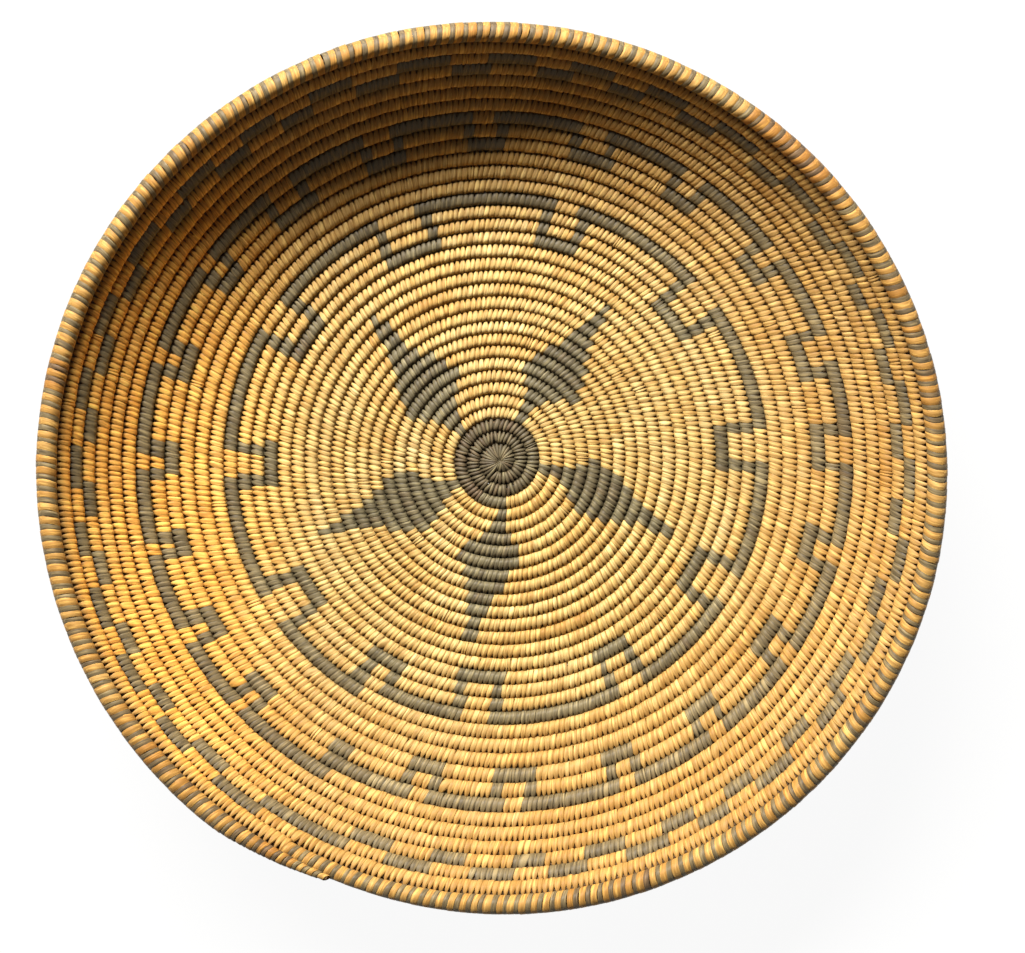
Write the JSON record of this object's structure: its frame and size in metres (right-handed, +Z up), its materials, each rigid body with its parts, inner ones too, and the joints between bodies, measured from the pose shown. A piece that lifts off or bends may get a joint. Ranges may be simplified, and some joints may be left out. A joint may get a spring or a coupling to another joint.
{
  "type": "coiled basket",
  "caption": "Shallow round coiled basket bowl: a sewn spiral coil over willow rods, level base, flared wall and a thicker rim row that tapers off at its end.",
  "frame": {"origin": "middle of the underside, at the start of the coil, where the basket stands", "axes": "+Z up out of the bowl's mouth; +X and +Y lie on the ground, with +Y towards the top of the reference view"},
  "size_m": [0.3628, 0.3564, 0.0673],
  "materials": {
    "willow_splint": "split willow, sewn, slightly waxy",
    "devils_claw_splint": "split devil's claw pod, sewn, dark, slightly waxy",
    "willow_rod": "peeled willow rod, matte"
  },
  "bodies": {
    "root": {"foundation_rods_01": "willow_rod", "foundation_rods_02": "willow_rod", "foundation_rods_03": "willow_rod", "foundation_rods_04": "willow_rod", "foundation_rods_05": "willow_rod", "foundation_rods_06": "willow_rod", "foundation_rods_07": "willow_rod", "foundation_rods_08": "willow_rod", "foundation_rods_09": "willow_rod", "foundation_rods_10": "willow_rod", "foundation_rods_11": "willow_rod", "rim_stitching": "willow_splint", "start_knot": "devils_claw_splint", "stitching_row_01": "devils_claw_splint", "stitching_row_02": "devils_claw_splint", "stitching_row_03": "devils_claw_splint", "stitching_row_04": "willow_splint", "stitching_row_05": "willow_splint", "stitching_row_06": "willow_splint", "stitching_row_07": "willow_splint", "stitching_row_08": "willow_splint", "stitching_row_09": "willow_splint", "stitching_row_10": "willow_splint", "stitching_row_11": "willow_splint", "stitching_row_12": "willow_splint", "stitching_row_13": "willow_splint", "stitching_row_14": "willow_splint", "stitching_row_15": "willow_splint", "stitching_row_16": "willow_splint", "stitching_row_17": "willow_splint", "stitching_row_18": "willow_splint", "stitching_row_19": "willow_splint", "stitching_row_20": "willow_splint", "stitching_row_21": "willow_splint", "stitching_row_22": "willow_splint", "stitching_row_23": "willow_splint", "stitching_row_24": "willow_splint", "stitching_row_25": "willow_splint", "stitching_row_26": "willow_splint", "stitching_row_27": "willow_splint", "stitching_row_28": "willow_splint", "stitching_row_29": "willow_splint", "stitching_row_30": "willow_splint", "stitching_row_31": "willow_splint", "stitching_row_32": "willow_splint", "stitching_row_33": "willow_splint"}
  },
  "joints": []
}
